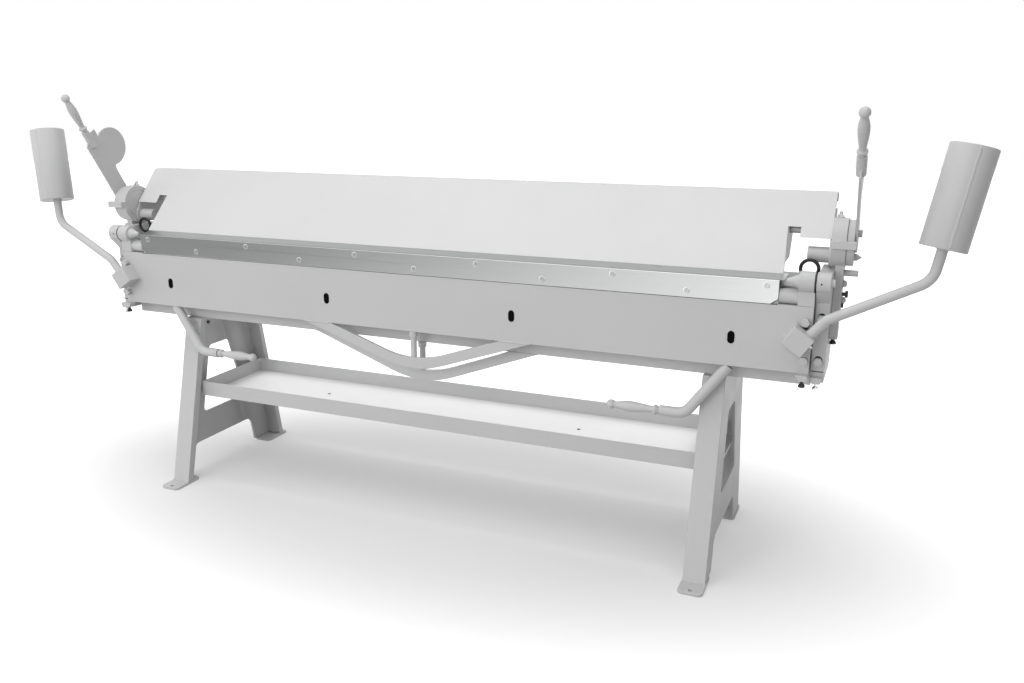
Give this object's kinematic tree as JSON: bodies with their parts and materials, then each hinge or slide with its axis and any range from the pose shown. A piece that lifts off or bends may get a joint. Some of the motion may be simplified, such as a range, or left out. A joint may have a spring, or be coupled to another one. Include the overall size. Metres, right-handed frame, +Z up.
{
  "type": "sheet metal folding machine",
  "caption": "Hand-operated sheet metal folding machine on two leg frames, with folding apron, counterweights, sloped upper beam and clamping levers.",
  "frame": {"origin": "on the floor, at the middle of the feet", "axes": "+X along the blades to the right end, +Y from the operator to the back, +Z up"},
  "size_m": [2.9628, 0.609, 1.2792],
  "materials": {
    "frame_paint": "light grey semi-gloss paint",
    "cover_paint": "off-white semi-gloss paint",
    "ground_steel": "ground bare steel",
    "black_steel": "black oxide"
  },
  "bodies": {
    "frame": {"right_leg_frame": "frame_paint", "left_leg_frame": "frame_paint", "right_front_foot_plate": "frame_paint", "left_front_foot_plate": "frame_paint", "right_rear_foot_plate": "frame_paint", "left_rear_foot_plate": "frame_paint", "tray": "frame_paint", "lower_beam": "frame_paint", "lower_truss": "frame_paint", "lower_truss_post": "frame_paint", "right_side_frame": "frame_paint", "left_side_frame": "frame_paint", "right_clamp_arm": "frame_paint", "left_clamp_arm": "frame_paint", "lower_blade": "ground_steel", "right_hinge_pin": "ground_steel", "left_hinge_pin": "ground_steel", "right_lifting_eye": "black_steel", "left_lifting_eye": "black_steel", "right_frame_screw": "ground_steel", "left_frame_screw": "ground_steel", "right_arm_screw": "black_steel", "left_arm_screw": "black_steel", "right_arm_knob": "black_steel", "left_arm_knob": "black_steel"},
    "apron": {"apron_beam": "frame_paint", "apron_strip": "ground_steel", "right_apron_bracket": "frame_paint", "left_apron_bracket": "frame_paint", "apron_truss": "frame_paint", "apron_truss_post": "frame_paint", "right_handle_tube": "frame_paint", "left_handle_tube": "frame_paint", "right_handle_grip": "frame_paint", "left_handle_grip": "frame_paint", "right_socket_block": "frame_paint", "left_socket_block": "frame_paint", "right_counterweight_tube": "frame_paint", "left_counterweight_tube": "frame_paint", "right_counterweight": "frame_paint", "left_counterweight": "frame_paint", "right_apron_screw": "black_steel", "left_apron_screw": "black_steel"},
    "upper_beam": {"upper_cover": "cover_paint", "upper_core": "frame_paint", "nose_blade": "ground_steel", "right_beam_hanger": "frame_paint", "left_beam_hanger": "frame_paint", "right_beam_shaft": "frame_paint", "left_beam_shaft": "frame_paint"},
    "right_lever": {"right_lever_plate": "frame_paint", "right_lever_grip": "frame_paint", "right_lever_nut": "ground_steel", "right_eccentric": "frame_paint"},
    "left_lever": {"left_lever_plate": "frame_paint", "left_lever_grip": "frame_paint", "left_lever_nut": "ground_steel", "left_eccentric": "frame_paint"}
  },
  "joints": [
    {"name": "apron_fold", "type": "hinge", "parent": "frame", "child": "apron", "pos_m": [0, -0.15, 0.829], "axis": [-1, 0, 0], "range_deg": [0, 135]},
    {"name": "left_lever_turn", "type": "hinge", "parent": "frame", "child": "left_lever", "pos_m": [0, -0.0405, 0.915], "axis": [-1, 0, 0], "range_deg": [0, 90]},
    {"name": "right_lever_turn", "type": "hinge", "parent": "frame", "child": "right_lever", "pos_m": [0, -0.0405, 0.915], "axis": [-1, 0, 0], "range_deg": [0, 90]},
    {"name": "beam_lift", "type": "slide", "parent": "frame", "child": "upper_beam", "axis": [0, 0, 1], "range_m": [0, 0.05]}
  ],
  "couplings": [
    {"joint": "right_lever_turn", "follows": "left_lever_turn", "ratio": 1},
    {"joint": "beam_lift", "follows": "left_lever_turn", "m_per_rad": 0.0318}
  ]
}
